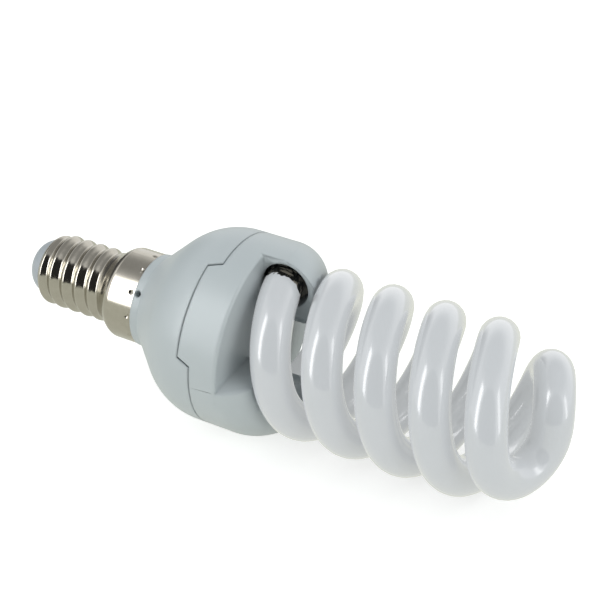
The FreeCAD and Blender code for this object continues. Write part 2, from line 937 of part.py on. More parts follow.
# The pinch: the end of the tube pressed flat behind its opening
def makePinch(angle):
    radius = size.tubeRadius.number
    back = -strandTangent(angle)
    centre = strandPoint(angle)
    flat = size.pinchThickness.number
    outward = Vector(centre.x, centre.y, 0).normalize()
    across = back.cross(outward).normalize()
    depth = size.pinchLength.number
    width = size.pinchWidth.number
    slab = Part.makeBox(width, flat, depth + radius, Vector(-width / 2, -flat / 2, -radius))
    frame = Rotation(outward, across, back, "XYZ")
    slab.Placement = Placement(centre, frame)
    dome = Part.makeSphere(radius, centre)
    return dome.fuse(slab)


# Cement round each tube end, filling its way through the hump
def makeTubeCement():
    start = size.humpMouth.number - size.cementFrom.number
    finish = start - size.cementSpan.number
    lead = size.coilLead.number
    radius = coilRadius.number + size.tubeWayOut.number
    centre = Vector(
        radius * math.cos(math.radians(finish)),
        radius * math.sin(math.radians(finish)),
        strandPoint(finish).z + size.tubeWayUp.number)
    path = Part.makeHelix(lead, lead * size.cementSpan.number / 360, radius)
    path.Placement = Placement(Vector(0, 0, centre.z), Rotation(Vector(0, 0, 1), finish))
    around = Vector(-math.sin(math.radians(finish)), math.cos(math.radians(finish)), 0)
    gap = size.cementGap.number
    filling = tubeAlong(path, centre, around, size.tubeWayRadius.number - gap, True)
    before = finish - size.humpMouth.number
    core = tubeAlong(
        strandHelix(before, start + size.humpMouth.number), strandPoint(before), strandTangent(before),
        size.tubeRadius.number + gap, True)
    return filling.cut(core)


def makeTubePieces():
    shaped("spiral_tube", makeSpiralTube())
    cement = makeTubeCement()
    shaped("tube_cement", Part.makeCompound([cement, halfTurned(cement)]))


# Circuit board, drilled for every leg, and the solder cone on each
holes = []


def leg(name, x, y, start, radius=None):
    radius = fit.legRadius if radius is None else radius
    holes.append((measured(x), measured(y), measured(radius)))
    return rod(name, radius, boardTop + size.legStub - start, x, y, start)


def makeCircuitBoard():
    radius = domeAt(boardBottom, size.housingWall) - size.boardGap
    plate = rod("board_plate", radius, size.boardThickness, 0, 0, boardBottom)
    drills = []
    cones = []
    for i, (x, y, legRadius) in enumerate(holes):
        drills.append(rod("drill_%d" % i, legRadius + fit.legGap, size.boardThickness, x, y, boardBottom))
        cone = doc.addObject("Part::Cone", "solder_%d" % i)
        foot = legRadius + fit.legGap
        bind(cone, Radius1=foot + fit.solderFlare, Radius2=legRadius, Height=size.solderHeight)
        place(cone, x, y, boardTop)
        core = rod("solder_core_%d" % i, legRadius, size.solderHeight, x, y, boardTop)
        cones.append(less("solder_joint_%d" % i, cone, core))
    piece("circuit_board", less("board", plate, grouped("drills", drills)))
    piece("solder_joints", grouped("solder_joints", cones))


# Choke: two ferrite halves as one closed core, a bobbin on its middle leg and the winding
def makeChoke():
    middleLeg = fit.chokeWidth - 2 * fit.chokeOuterLeg - 2 * fit.chokeWindow
    core = block("core_block", fit.chokeWidth, fit.chokeThickness, size.chokeHeight,
                 fit.chokeX, 0, coreBottom)
    windowHeight = size.chokeHeight - 2 * size.chokeYoke
    offset = (middleLeg + fit.chokeWindow) / 2
    windows = [
        block("core_window_%d" % i, fit.chokeWindow, fit.chokeThickness * 2, windowHeight,
              fit.chokeX + side * offset, 0, coreBottom + size.chokeYoke)
        for i, side in enumerate((1, -1))
    ]
    piece("choke_core", less("core", core, grouped("core_windows", windows)))

    gap = size.bobbinGap
    innerX = middleLeg + 2 * gap
    innerY = fit.chokeThickness + 2 * gap
    spoolX = innerX + 2 * fit.bobbinWall
    spoolY = innerY + 2 * fit.bobbinWall
    flangeX = middleLeg + 2 * fit.chokeWindow - 2 * gap
    low = coreBottom + size.chokeYoke + gap
    tall = windowHeight - 2 * gap
    spool = block("bobbin_spool", spoolX, spoolY, tall, fit.chokeX, 0, low)
    flangeLow = block("bobbin_flange_low", flangeX, fit.bobbinDepth, size.bobbinFlange,
                      fit.chokeX, 0, low)
    flangeHigh = block("bobbin_flange_high", flangeX, fit.bobbinDepth, size.bobbinFlange,
                       fit.chokeX, 0, low + tall - size.bobbinFlange)
    footHeight = boardBottom - (low + tall - size.bobbinFlange)
    footY = fit.bobbinDepth / 2 - fit.bobbinFoot / 2
    feet = [
        block("bobbin_foot_%d" % i, flangeX, fit.bobbinFoot, footHeight,
              fit.chokeX, side * footY, low + tall - size.bobbinFlange)
        for i, side in enumerate((1, -1))
    ]
    pins = []
    for i, (sideX, sideY) in enumerate(((1, 1), (1, -1), (-1, 1), (-1, -1))):
        x = fit.chokeX + sideX * (flangeX / 2 - fit.bobbinFoot / 2)
        pins.append(leg("choke_pin_%d" % i, x, sideY * footY, boardBottom - size.bobbinFlange))
    solid = joined("bobbin_solid", [spool, flangeLow, flangeHigh] + feet + pins)
    bore = block("bobbin_bore", innerX, innerY, tall * 2, fit.chokeX, 0, low - tall / 2)
    piece("choke_bobbin", less("bobbin", solid, bore))

    windingX = flangeX - 2 * size.windingInset
    windingY = fit.bobbinDepth - 2 * size.windingInset
    windingTall = tall - 2 * size.bobbinFlange
    coil = block("winding_block", windingX, windingY, windingTall,
                 fit.chokeX, 0, low + size.bobbinFlange)
    hollow = block("winding_hollow", spoolX, spoolY, windingTall, fit.chokeX, 0, low + size.bobbinFlange)
    piece("choke_winding", less("winding", coil, hollow))


# Smoothing capacitor: a can down in the cap with a rolled groove, its legs bent to the board
def makeSmoothingCapacitor():
    body = newBody("smoothing_capacitor")
    sketch = newSketch(body, "can_section", "XZ_Plane", shift=size.canX)
    top = size.canStart + size.canLength
    corner = size.canRadius / 8
    groove = size.canRadius / 10
    grooveZ = top - size.canRadius / 2
    drawOutline(sketch, [
        (0, size.canStart),
        (size.canRadius - corner, size.canStart, corner),
        (size.canRadius, size.canStart + corner),
        (size.canRadius, grooveZ - groove, -groove * shallow),
        (size.canRadius, grooveZ + groove),
        (size.canRadius, top - corner, corner),
        (size.canRadius - corner, top),
        (size.canRadius - 2 * corner, top),
        (size.canRadius - 2 * corner, top - corner),
        (0, top - corner),
    ])
    turned(body, "can_turned", sketch)

    base = top.number - corner.number
    legs = []
    for side in (1, -1):
        y = side * size.canPitch / 2
        holes.append((fit.canLegX, y, fit.legRadius))
        points = [
            Vector(size.canX.number, y.number, base),
            Vector(size.canX.number, y.number, base + 2 * size.leadRun.number),
            Vector(fit.canLegX.number, y.number, coreBottom.number),
            Vector(fit.canLegX.number, y.number, boardTop.number + size.legStub.number),
        ]
        legs.append(wireSolid(points, fit.legRadius.number, size.leadBend.number))
    shaped("capacitor_legs", Part.makeCompound(legs))


# Fuse resistor in its sleeve beside the can, with the live wire to the board, and the
# neutral wire that is pinched against the inside of the screw shell
def makeCapWiring():
    fuse = rod("fuse_body", size.fuseRadius, size.fuseLength, size.fuseX, 0, size.fuseStart)
    piece("fuse_resistor", grouped("fuse", [fuse]))
    overhang = size.sleeveOverhang
    sleeveLength = size.fuseLength + 2 * overhang
    outer = rod("sleeve_outer", size.fuseRadius + size.sleeveWall, sleeveLength,
                size.fuseX, 0, size.fuseStart - overhang)
    inner = rod("sleeve_inner", size.fuseRadius, sleeveLength, size.fuseX, 0, size.fuseStart - overhang)
    piece("fuse_sleeve", less("sleeve", outer, inner))

    bend = size.leadBend.number
    run = size.leadRun.number
    fuseX = size.fuseX.number
    fuseTop = size.fuseStart.number + size.fuseLength.number
    solderEnd = boardTop.number + size.legStub.number
    x = fit.leadX.number
    y = fit.leadY.number
    contact = size.contactShankEnd.number
    lower = wireSolid([
        Vector(0, 0, contact - size.contactDome.number),
        Vector(0, 0, contact + run),
        Vector(fuseX, 0, size.fuseStart.number - run),
        Vector(fuseX, 0, size.fuseStart.number),
    ], size.leadRadius.number, bend)
    upper = wireSolid([
        Vector(fuseX, 0, fuseTop),
        Vector(fuseX, 0, fuseTop + 2 * run),
        Vector(fuseX / 3, y, fuseTop + size.leadRise.number),
        Vector(x, y, coreBottom.number),
        Vector(x, y, solderEnd),
    ], size.leadRadius.number, bend)
    shaped("live_wires", Part.makeCompound([lower, upper]))

    crimp = size.flareEnd.number + size.leadRadius.number
    inside = size.skirtRadius.number - size.shellSheet.number - size.neckGap.number
    neutral = wireSolid([
        Vector(0, -inside, crimp),
        Vector(0, size.neutralStandoff.number - inside, crimp),
        Vector(0, size.neutralStandoff.number - inside, size.neckStart.number + 2 * run),
        Vector(x, -y, coreBottom.number),
        Vector(x, -y, solderEnd),
    ], size.leadRadius.number, bend)
    bore = Part.makeCylinder(inside, size.skirtEdge.number)
    shell = Part.makeCylinder(size.skirtRadius.number, size.skirtEdge.number).cut(bore)
    neutral = neutral.cut(shell)
    shaped("neutral_wire", neutral)
    for side in (1, -1):
        holes.append((fit.leadX, side * fit.leadY, size.leadRadius))


# Switching transistors: half-round bodies on three legs, standing off the board
def makeTransistors():
    for i, side in enumerate((1, -1), start=1):
        bottom = boardBottom - size.transistorLift - size.transistorHeight
        x = fit.transistorX
        y = side * fit.transistorY
        drum = rod("transistor_drum_%d" % i, fit.transistorRadius, size.transistorHeight, x, y, bottom)
        flat = block("transistor_flat_%d" % i, fit.transistorRadius * 2, fit.transistorRadius,
                     size.transistorHeight * 2, x,
                     y + side * (fit.transistorFlat + fit.transistorRadius / 2), bottom)
        case = less("transistor_case_%d" % i, drum, flat)
        legs = [
            leg("transistor_leg_%d_%d" % (i, k), x + k * fit.transistorPitch, y,
                bottom + size.transistorHeight / 2, fit.legRadius * 0.8)
            for k in (-1, 0, 1)
        ]
        piece("transistor_%d" % i, joined("transistor_solid_%d" % i, [case] + legs))


# Film capacitors: dipped blocks with rounded upright edges on two legs
def makeFilmCapacitor(label, length, width, height, pitch, x, y):
    low = boardBottom - height
    shell = block(label + "_block", length, width, height, x, y, low)
    rounded = doc.addObject("Part::Fillet", label + "_rounded")
    rounded.Base = shell
    radius = width.number / 4
    rounded.Edges = [(i, radius, radius) for i in (1, 3, 5, 7)]
    legs = [
        leg(label + "_leg_%d" % i, x + side * pitch / 2, y, boardBottom - size.legStub)
        for i, side in enumerate((1, -1))
    ]
    piece(label, joined(label + "_solid", [rounded] + legs))


def makeFilmCapacitors():
    makeFilmCapacitor("resonant_capacitor", fit.filmLength, fit.filmWidth, size.filmHeight,
                      fit.filmPitch, fit.filmX, fit.filmY)
    makeFilmCapacitor("coupling_capacitor", fit.filmLength, fit.filmWidth, size.filmHeight,
                      fit.filmPitch, fit.filmX, -fit.filmY)
    makeFilmCapacitor("start_capacitor", fit.startCapLength, fit.startCapWidth, size.startCapHeight,
                      fit.startCapPitch, fit.startCapX, fit.startCapY)


# Driver transformer: a ferrite ring lying on the board with three windings round it
def makeDriverTransformer():
    x = fit.toroidX
    wire = fit.toroidWire
    low = boardBottom - size.toroidLift - wire - size.toroidHeight
    ring = rod("ring_outer", fit.toroidRadius, size.toroidHeight, x, 0, low)
    hole = rod("ring_hole", fit.toroidHole, size.toroidHeight * 2, x, 0, low - size.toroidHeight / 2)
    piece("driver_ring", less("ring", ring, hole))
    windings = []
    for i in range(3):
        outer = doc.addObject("Part::Cylinder", "winding_outer_%d" % i)
        bind(outer, Radius=fit.toroidRadius + wire, Height=size.toroidHeight + 2 * wire,
             Angle=size.toroidSpan)
        place(outer, x, 0, low - wire)
        outer.Placement = Placement(outer.Placement.Base, Rotation(Vector(0, 0, 1), 120 * i + 30))
        inner = rod("winding_inner_%d" % i, fit.toroidHole - wire, size.toroidHeight * 3,
                    x, 0, low - size.toroidHeight)
        sleeve = less("winding_sleeve_%d" % i, outer, inner)
        body = rod("winding_ring_%d" % i, fit.toroidRadius, size.toroidHeight, x, 0, low)
        bodyHole = rod("winding_ring_hole_%d" % i, fit.toroidHole, size.toroidHeight * 2,
                       x, 0, low - size.toroidHeight / 2)
        windings.append(less("winding_%d" % i, sleeve, less("winding_core_%d" % i, body, bodyHole)))
    piece("driver_windings", grouped("driver_windings", windings))


# A small round part lying on the board, its wire bent down through it at both ends
def lyingPart(name, radius, length, pitch, x, y, along):
    z = boardBottom - radius
    body = lyingRod(name + "_body", radius, length, x, y, z, along)
    half = pitch.number / 2
    side = Vector(half, 0, 0) if along == "x" else Vector(0, half, 0)
    low = Vector(x.number, y.number, z.number)
    top = Vector(x.number, y.number, boardTop.number + size.legStub.number)
    wire = doc.addObject("Part::Feature", name + "_wire")
    wire.Shape = wireSolid(
        [top - side, low - side, low + side, top + side], fit.legRadius.number, size.legBend.number)
    for end in (side, -side):
        holes.append((x + end.x, y + end.y, fit.legRadius))
    return joined(name, [body, wire])


def makeSmallParts():
    diodes = []
    for i in range(2):
        for k, side in enumerate((1, -1)):
            diodes.append(lyingPart(
                "diode_%d_%d" % (i, k), fit.diodeRadius, fit.diodeLength, fit.diodePitch,
                fit.diodeX + i * fit.diodeStep, fit.diodeY * side, "y"))
    piece("rectifier_diodes", grouped("rectifier_diodes", diodes))
    diac = lyingPart("diac_part", fit.diacRadius, fit.diacLength, fit.smallPitch,
                     fit.diacX, fit.diacY, "x")
    piece("diac", diac)
    spots = (
        (fit.resistorLoneX, fit.resistorLoneY),
        (fit.resistorPairX, fit.resistorPairY),
        (fit.resistorPairX, -fit.resistorPairY),
    )
    resistors = [
        lyingPart("resistor_%d" % i, fit.resistorRadius, fit.resistorLength, fit.smallPitch, x, y, "x")
        for i, (x, y) in enumerate(spots)
    ]
    piece("resistors", grouped("resistors", resistors))


# Square pins in the board and the wires from the tube's ends wrapped on them
def makePinsAndTubeWires():
    pins = []
    wires = []
    first = strandStart.number
    back = -strandTangent(first)
    outward = Vector(strandPoint(first).x, strandPoint(first).y, 0).normalize()
    tip = strandPoint(first) + back * size.pinchLength.number
    for i in range(4):
        angle = pinAngle + 180 * (i // 2) - size.pinSpread * (i % 2)
        x = pinRing * cosine(angle)
        y = pinRing * sine(angle)
        bottom = boardBottom - size.legStub
        pin = block("pin_%d" % i, fit.pinWidth, fit.pinWidth, pinTop - bottom, x, y, bottom)
        pins.append(pin)
        holes.append((x, y, fit.pinWidth * math.sqrt(0.5)))
        if i < 2:
            spread = (0.5 - i) * size.tubeWireSpread.number
            start = tip + outward * spread
            run = size.tubeWireRun.number
            leave = start + back * run
            side = Vector(x.number, y.number, 0)
            touch = side + Vector(0, 0, pinTop.number)
            points = [start, leave, touch + Vector(0, 0, run), touch]
            wires.append(wireSolid(points, size.tubeWireRadius.number, size.tubeWireBend.number))
    piece("wrap_pins", grouped("wrap_pins", pins))
    shaped("tube_wires", Part.makeCompound(wires + [halfTurned(wire) for wire in wires]))


# The lamp lies with the rim of a hump and the last turn of the coil on the ground, so its
# axis dips towards the coil by the angle at which both are equally low
def lowestPoints(dip):
    fall = math.sin(dip)
    level = math.cos(dip)
    tube = min(
        side * strandPoint(angle).x * level - strandPoint(angle).z * fall
        for angle in range(360, int(size.strandEnd.number))
        for side in (1, -1))
    tube -= size.tubeRadius.number
    rounding = size.humpRounding.number
    reach = size.housingRadius.number - rounding
    climb = size.coilLead.number / 360
    hump = min(
        reach * math.cos(math.radians(angle)) * level
        - (humpTop.number - rounding - climb * (180 + size.humpMouth.number - angle)) * fall - rounding
        for angle in range(160, 181 + int(size.humpMouth.number)))
    return tube, hump


def restDip():
    low = 0.0
    high = 0.3
    for _ in range(40):
        middle = (low + high) / 2
        tube, hump = lowestPoints(middle)
        if tube > hump:
            low = middle
        else:
            high = middle
    return low


def layDown():
    turn = Rotation(Vector(0, 1, 0), 90 + math.degrees(restDip())) * Rotation(Vector(0, 0, 1), 180)
    for thing in pieces:
        own = thing.Placement
        thing.Placement = Placement(Vector(), turn) * own
    doc.recompute()
    outer = [thing.Shape for thing in pieces if thing.Label in (
        "spiral_tube", "tube_cover", "ballast_housing", "screw_shell", "centre_contact")]
    boxes = [shape.optimalBoundingBox() for shape in outer]
    middleX = (min(b.XMin for b in boxes) + max(b.XMax for b in boxes)) / 2
    middleY = (min(b.YMin for b in boxes) + max(b.YMax for b in boxes)) / 2
    ground = min(b.ZMin for b in boxes)
    shift = Vector(-middleX, -middleY, -ground)
    for thing in pieces:
        thing.Placement = Placement(shift, Rotation()) * thing.Placement
    print("contact tip at", shift, "axis", turn.multVec(Vector(0, 0, 1)))


def checkedShapes():
    doc.recompute()
    for thing in doc.Objects:
        if "Invalid" in thing.State or "Error" in thing.State:
            raise RuntimeError("failed: " + thing.Label)
    for thing in pieces:
        if thing.Shape.isNull() or not thing.Shape.isValid():
            raise RuntimeError("bad shape: " + thing.Label)
        if not thing.Shape.Solids:
            raise RuntimeError("no solid: " + thing.Label)


makeCentreContact()
makeCapInsulator()
makeScrewShell()
makeBallastHousing()
makeTubeCover()
makeTubePieces()
makeChoke()
makeSmoothingCapacitor()
makeCapWiring()
makeTransistors()
makeFilmCapacitors()
makeDriverTransformer()
makeSmallParts()
makePinsAndTubeWires()
makeCircuitBoard()
doc.recompute()
layDown()
checkedShapes()

os.makedirs("parts", exist_ok=True)
for thing in pieces:
    thing.Shape.exportStep("parts/%s.step" % thing.Label)
    print("%-22s solids %d volume %.1f" % (thing.Label, len(thing.Shape.Solids), thing.Shape.Volume))
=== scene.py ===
import bpy
import json
import math
from mathutils import Matrix, Vector


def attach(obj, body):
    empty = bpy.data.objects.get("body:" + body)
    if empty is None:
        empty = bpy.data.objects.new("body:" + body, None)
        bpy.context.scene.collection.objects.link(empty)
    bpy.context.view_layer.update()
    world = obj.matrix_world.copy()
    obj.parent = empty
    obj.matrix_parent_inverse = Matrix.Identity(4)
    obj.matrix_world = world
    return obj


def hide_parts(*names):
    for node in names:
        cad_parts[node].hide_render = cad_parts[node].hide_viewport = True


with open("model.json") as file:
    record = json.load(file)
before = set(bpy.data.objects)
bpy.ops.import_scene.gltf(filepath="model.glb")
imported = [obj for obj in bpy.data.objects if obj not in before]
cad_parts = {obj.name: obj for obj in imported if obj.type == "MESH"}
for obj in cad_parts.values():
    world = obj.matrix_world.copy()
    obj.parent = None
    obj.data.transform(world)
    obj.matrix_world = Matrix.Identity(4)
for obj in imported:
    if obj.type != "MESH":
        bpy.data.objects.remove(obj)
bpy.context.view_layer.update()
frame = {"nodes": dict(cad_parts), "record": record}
nodes = frame["nodes"]
bpy.ops.object.select_all(action="DESELECT")

# The lamp is drawn in millimetres, standing on its cap, and then laid down on its side;
# points closer than mergeWithin, also in millimetres, are one point
metresPerMillimetre = 0.001
mergeWithin = 0.001
contactMount = next(m for m in frame["record"]["mounts"] if m["name"] == "centre_contact")
capTip = Vector(contactMount["pos_m"])
lampAxis = -Vector(contactMount["axis"]).normalized()
lampUp = (Vector((0, 0, 1)) - lampAxis * lampAxis.z).normalized()
lampSide = lampAxis.cross(lampUp)
layDown = (Matrix.Translation(capTip)
           @ Matrix((lampUp, lampSide, lampAxis)).transposed().to_4x4()
           @ Matrix.Scale(metresPerMillimetre, 4))
turnDown = layDown.to_3x3().normalized()
print("frame loaded, cap tip at", [round(c * 1000, 2) for c in capTip])


def hexColour(text):
    # sRGB hex to the linear colour that a shader wants
    parts = [int(text[i:i + 2], 16) / 255 for i in (0, 2, 4)]
    return tuple(p / 12.92 if p <= 0.04045 else ((p + 0.055) / 1.055) ** 2.4 for p in parts) + (1,)


def addNode(tree, kind, settings=None, **inputs):
    # one node with its settings, and its inputs as values or as links from another output;
    # an input is given by its name, or by its number, as in0
    node = tree.nodes.new(kind)
    for name, value in (settings or {}).items():
        setattr(node, name, value)
    for name, value in inputs.items():
        numbered = name.startswith("in") and name[2:].isdigit()
        socket = node.inputs[int(name[2:])] if numbered else node.inputs[name.replace("_", " ")]
        if isinstance(value, bpy.types.NodeSocket):
            tree.links.new(value, socket)
        else:
            socket.default_value = value
    return node


def newMaterial(name):
    material = bpy.data.materials.new(name)
    material.use_nodes = True
    tree = material.node_tree
    return material, tree, tree.nodes["Principled BSDF"]


def dress(piece, material):
    piece.data.materials.clear()
    piece.data.materials.append(material)


def perMetre(millimetres):
    # pattern scale for features of this size
    return 1000 / millimetres


# How every grain is drawn: its detail, how far it moves the roughness, and its relief
grainLook = {
    "detail": 4.0,
    "fineness": 0.6,
    "glossSpread": 0.15,
    "relief": 0.5,
    "coatRoughness": 0.05,
    "edgeSamples": 6,
    "hollowSamples": 8,
}


def grained(name, light, dark, grain, roughness, metallic=0.0, ior=1.5, coat=0.0, bump=0.0,
            stretch=(1, 1, 1), edge=0.0, grime=None):
    # two close tones over a fine grain, which also moves the roughness and the surface a little;
    # edges can be rounded to a radius in millimetres, and hollows can get a darker tone, painted
    # shade
    material, tree, shader = newMaterial(name)
    coords = addNode(tree, "ShaderNodeTexCoord")
    turned = addNode(tree, "ShaderNodeMapping", Vector=coords.outputs["Object"], Scale=stretch)
    cloud = addNode(tree, "ShaderNodeTexNoise", Vector=turned.outputs[0], Scale=perMetre(grain),
                    Detail=grainLook["detail"], Roughness=grainLook["fineness"])
    tones = addNode(tree, "ShaderNodeMix", {"data_type": "RGBA"}, Factor=cloud.outputs[0],
                    in6=hexColour(dark), in7=hexColour(light))
    tone = tones.outputs[2]
    if grime:
        # painted shade: the tone darkens where ambient occlusion finds a hollow
        hollow = addNode(tree, "ShaderNodeAmbientOcclusion",
                         {"samples": grainLook["hollowSamples"]}, Distance=grime["depth"] / 1000)
        unshaded = addNode(tree, "ShaderNodeMapRange", Value=hollow.outputs["AO"],
                        From_Min=grime["from"], From_Max=grime["to"])
        tone = addNode(tree, "ShaderNodeMix", {"data_type": "RGBA"}, Factor=unshaded.outputs[0],
                       in6=hexColour(grime["tone"]), in7=tone).outputs[2]
    tree.links.new(tone, shader.inputs["Base Color"])
    gloss = addNode(tree, "ShaderNodeMapRange", Value=cloud.outputs[0],
                    To_Min=roughness * (1 - grainLook["glossSpread"]),
                    To_Max=min(roughness * (1 + grainLook["glossSpread"]), 1))
    tree.links.new(gloss.outputs[0], shader.inputs["Roughness"])
    if bump:
        relief = addNode(tree, "ShaderNodeBump", Height=cloud.outputs[0],
                         Strength=grainLook["relief"], Distance=bump / 1000)
        if edge:
            rounded = addNode(tree, "ShaderNodeBevel", {"samples": grainLook["edgeSamples"]},
                              Radius=edge / 1000)
            tree.links.new(rounded.outputs[0], relief.inputs["Normal"])
        tree.links.new(relief.outputs[0], shader.inputs["Normal"])
    shader.inputs["Metallic"].default_value = metallic
    if not metallic:
        shader.inputs["IOR"].default_value = ior
    if coat:
        shader.inputs["Coat Weight"].default_value = coat
        shader.inputs["Coat Roughness"].default_value = grainLook["coatRoughness"]
    return material


# Housing: moulded cool white plastic, an even colour with a faint cloud and a soft sheen
housing = {"light": "C6CDCF", "dark": "C0C8CA", "cloud": 6.0, "roughness": 0.36, "edge": 0.6}
housingPlastic = grained("mouldedPlastic", housing["light"], housing["dark"], housing["cloud"],
                         housing["roughness"], bump=0.01, edge=housing["edge"])

# Cap: nickel plated brass, bright and slightly warm, rubbed round by the lampholder, with painted
# shade: a darker tone in its dents and along the foot of the skirt
cap = {
    "light": "C2BEB4",
    "dark": "B0ACA1",
    "rub": 1.6,
    "roughness": 0.15,
    "grime": {"depth": 0.9, "from": 0.35, "to": 0.62, "tone": "2E2C29"},
}
nickelPlate = grained("nickelPlate", cap["light"], cap["dark"], cap["rub"], cap["roughness"],
                      metallic=1.0, bump=0.004, grime=cap["grime"])

# Insulator: pale blue grey moulding with a low shine
insulatorMoulding = grained("insulatorMoulding", "B9BFC4", "AFB6BB", 2.5, 0.35, bump=0.01)

# Contact, legs, pins and bare wires: dull tin, a warm grey with a soft, uneven shine
tinned = grained("tinnedMetal", "C9C7C0", "A9A69E", 0.6, 0.35, metallic=1.0, bump=0.02)

# Board: brown paper laminate, matt with darker flecks
laminate = grained("paperLaminate", "A8854A", "8F6E38", 1.2, 0.55, bump=0.02)

# Cores: pressed ferrite powder, dark grey and dry
ferrite = grained("sinteredFerrite", "2B2B2E", "1E1E20", 0.3, 0.6, bump=0.02)

# Bobbin: black moulding, even and half matt
bobbinMoulding = grained("bobbinMoulding", "26272A", "1C1D1F", 0.8, 0.5)

# Windings: copper under clear enamel, with fine lines where the turns lie side by side
enamelledCopper = grained("enamelledCopper", "B4652C", "8E4A1C", 0.35, 0.3, metallic=1.0,
                          stretch=(8, 1, 1))

# Capacitor: dark blue shrink film drawn tight over its can, with a clear gloss
shrinkSleeve = grained("shrinkSleeve", "1E2433", "171B27", 2.0, 0.3, coat=0.4)

# Fuse sleeve: woven glass fibre, off-white and rough
wovenSleeve = grained("wovenSleeve", "D9D6C8", "B9B5A2", 0.4, 0.8, bump=0.08)

# Small parts: dipped in red brown lacquer, glossy and a little uneven
dippedCoating = grained("dippedCoating", "8A3A1E", "742C14", 1.5, 0.25, coat=0.5, bump=0.03)

# Transistors and diodes: black moulded epoxy, dull
blackEpoxy = grained("blackEpoxy", "232323", "191919", 0.5, 0.55, bump=0.01)

# Cement round the tube's ends: white filler, chalky and lumpy
filler = grained("whiteCement", "D8D5CB", "B9B5A8", 0.8, 0.9, bump=0.15)
print("finishes made")

finishes = {
    "centre_contact": tinned,
    "cap_insulator": insulatorMoulding,
    "screw_shell": nickelPlate,
    "ballast_housing": housingPlastic,
    "tube_cover": housingPlastic,
    "tube_cement": filler,
    "circuit_board": laminate,
    "solder_joints": tinned,
    "choke_core": ferrite,
    "choke_bobbin": bobbinMoulding,
    "choke_winding": enamelledCopper,
    "smoothing_capacitor": shrinkSleeve,
    "capacitor_legs": tinned,
    "fuse_resistor": dippedCoating,
    "fuse_sleeve": wovenSleeve,
    "live_wires": tinned,
    "neutral_wire": tinned,
    "transistor_1": blackEpoxy,
    "transistor_2": blackEpoxy,
    "resonant_capacitor": dippedCoating,
    "coupling_capacitor": dippedCoating,
    "start_capacitor": dippedCoating,
    "driver_ring": ferrite,
    "driver_windings": enamelledCopper,
    "rectifier_diodes": blackEpoxy,
    "diac": dippedCoating,
    "resistors": dippedCoating,
    "wrap_pins": tinned,
    "tube_wires": tinned,
}
for name, material in finishes.items():
    dress(nodes[name], material)


def mergeDoubles():
    # the selected mesh, in millimetres, as one closed skin that faces outwards
    bpy.ops.object.mode_set(mode="EDIT")
    bpy.ops.mesh.select_all(action="SELECT")
    bpy.ops.mesh.remove_doubles(threshold=mergeWithin)
    bpy.ops.mesh.normals_make_consistent(inside=False)
    bpy.ops.object.mode_set(mode="OBJECT")


# Discharge tube: glass tube wound as a double spiral, with a bridge over the lamp's axis
tube = {
    "radius": 3.5,
    "coilRadius": 12.16,
    "lead": 19.6,
    "start": 52.76,
    "firstAngle": -39,
    "lastAngle": 813,
    "step": 4,
    "bridgeBend": 6.0,
    "bridgeRise": 6.15,
    "bridgePoints": 20,
    "mouthAngle": 7,
    "roundness": 10,
}


def strandHeight(angle):
    return tube["start"] + tube["lead"] * angle / 360


def strandPoint(angle):
    turn = math.radians(angle)
    return Vector((tube["coilRadius"] * math.cos(turn), tube["coilRadius"] * math.sin(turn),
                   strandHeight(angle)))


def bridgeHalf():
    # round a bend to the axis, leaving the coil at its slope and level at the highest point
    bend = tube["bridgeBend"]
    reach = tube["coilRadius"] - bend
    straight = math.sqrt(reach ** 2 - bend ** 2)
    turn = math.pi - math.acos(bend / reach)
    length = bend * turn + straight
    slope = tube["lead"] / (2 * math.pi * tube["coilRadius"]) * length
    start = strandPoint(tube["lastAngle"])
    outward = Vector((start.x, start.y, 0)).normalized()
    points = []
    for i in range(1, tube["bridgePoints"] + 1):
        share = i / tube["bridgePoints"]
        way = length * share
        angle = math.radians(tube["lastAngle"]) + min(way / bend, turn)
        spot = outward * reach + Vector((math.cos(angle), math.sin(angle), 0)) * bend
        if way > bend * turn:
            spot *= (length - way) / straight
        spot.z = start.z + slope * (share - 2 * share ** 2 + share ** 3)
        spot.z += tube["bridgeRise"] * (3 * share ** 2 - 2 * share ** 3)
        points.append(spot)
    return points


def fromMouth(spot):
    # distance along the nearer strand from the mouth of its hump, negative inside it
    best = None
    for strand in (0, 180):
        angle = math.degrees(math.atan2(spot.y, spot.x)) + strand
        angle += 360 * round((spot.z - strandHeight(angle)) / tube["lead"])
        miss = abs(spot.z - strandHeight(angle))
        if best is None or miss < best[0]:
            best = (miss, angle)
    turnLength = math.hypot(2 * math.pi * tube["coilRadius"], tube["lead"])
    return (best[1] - tube["mouthAngle"]) / 360 * turnLength


def makeDischargeTube():
    angles = range(tube["firstAngle"], tube["lastAngle"] + 1, tube["step"])
    half = [strandPoint(a) for a in angles]
    if angles[-1] != tube["lastAngle"]:
        half.append(strandPoint(tube["lastAngle"]))
    half += bridgeHalf()
    whole = half + [Vector((-p.x, -p.y, p.z)) for p in reversed(half[:-1])]
    bpy.ops.curve.primitive_nurbs_path_add(location=(0, 0, 0))
    curve = bpy.context.object
    curve.data.splines.clear()
    spline = curve.data.splines.new("POLY")
    spline.points.add(len(whole) - 1)
    for point, spot in zip(spline.points, whole):
        point.co = (*spot, 1)
    curve.data.bevel_depth = tube["radius"]
    curve.data.bevel_resolution = tube["roundness"]
    curve.data.use_fill_caps = True
    curve.data.twist_mode = "MINIMUM"
    bpy.ops.object.convert(target="MESH")
    piece = bpy.context.object
    piece.name = "dischargeTube"
    mergeDoubles()
    bpy.ops.object.shade_smooth()
    along = piece.data.attributes.new("fromMouth", "FLOAT", "POINT")
    for vertex, value in zip(piece.data.vertices, along.data):
        value.value = fromMouth(vertex.co)
    piece.data.transform(layDown)
    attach(piece, "root")
    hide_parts("spiral_tube")
    bpy.ops.object.select_all(action="DESELECT")
    return piece


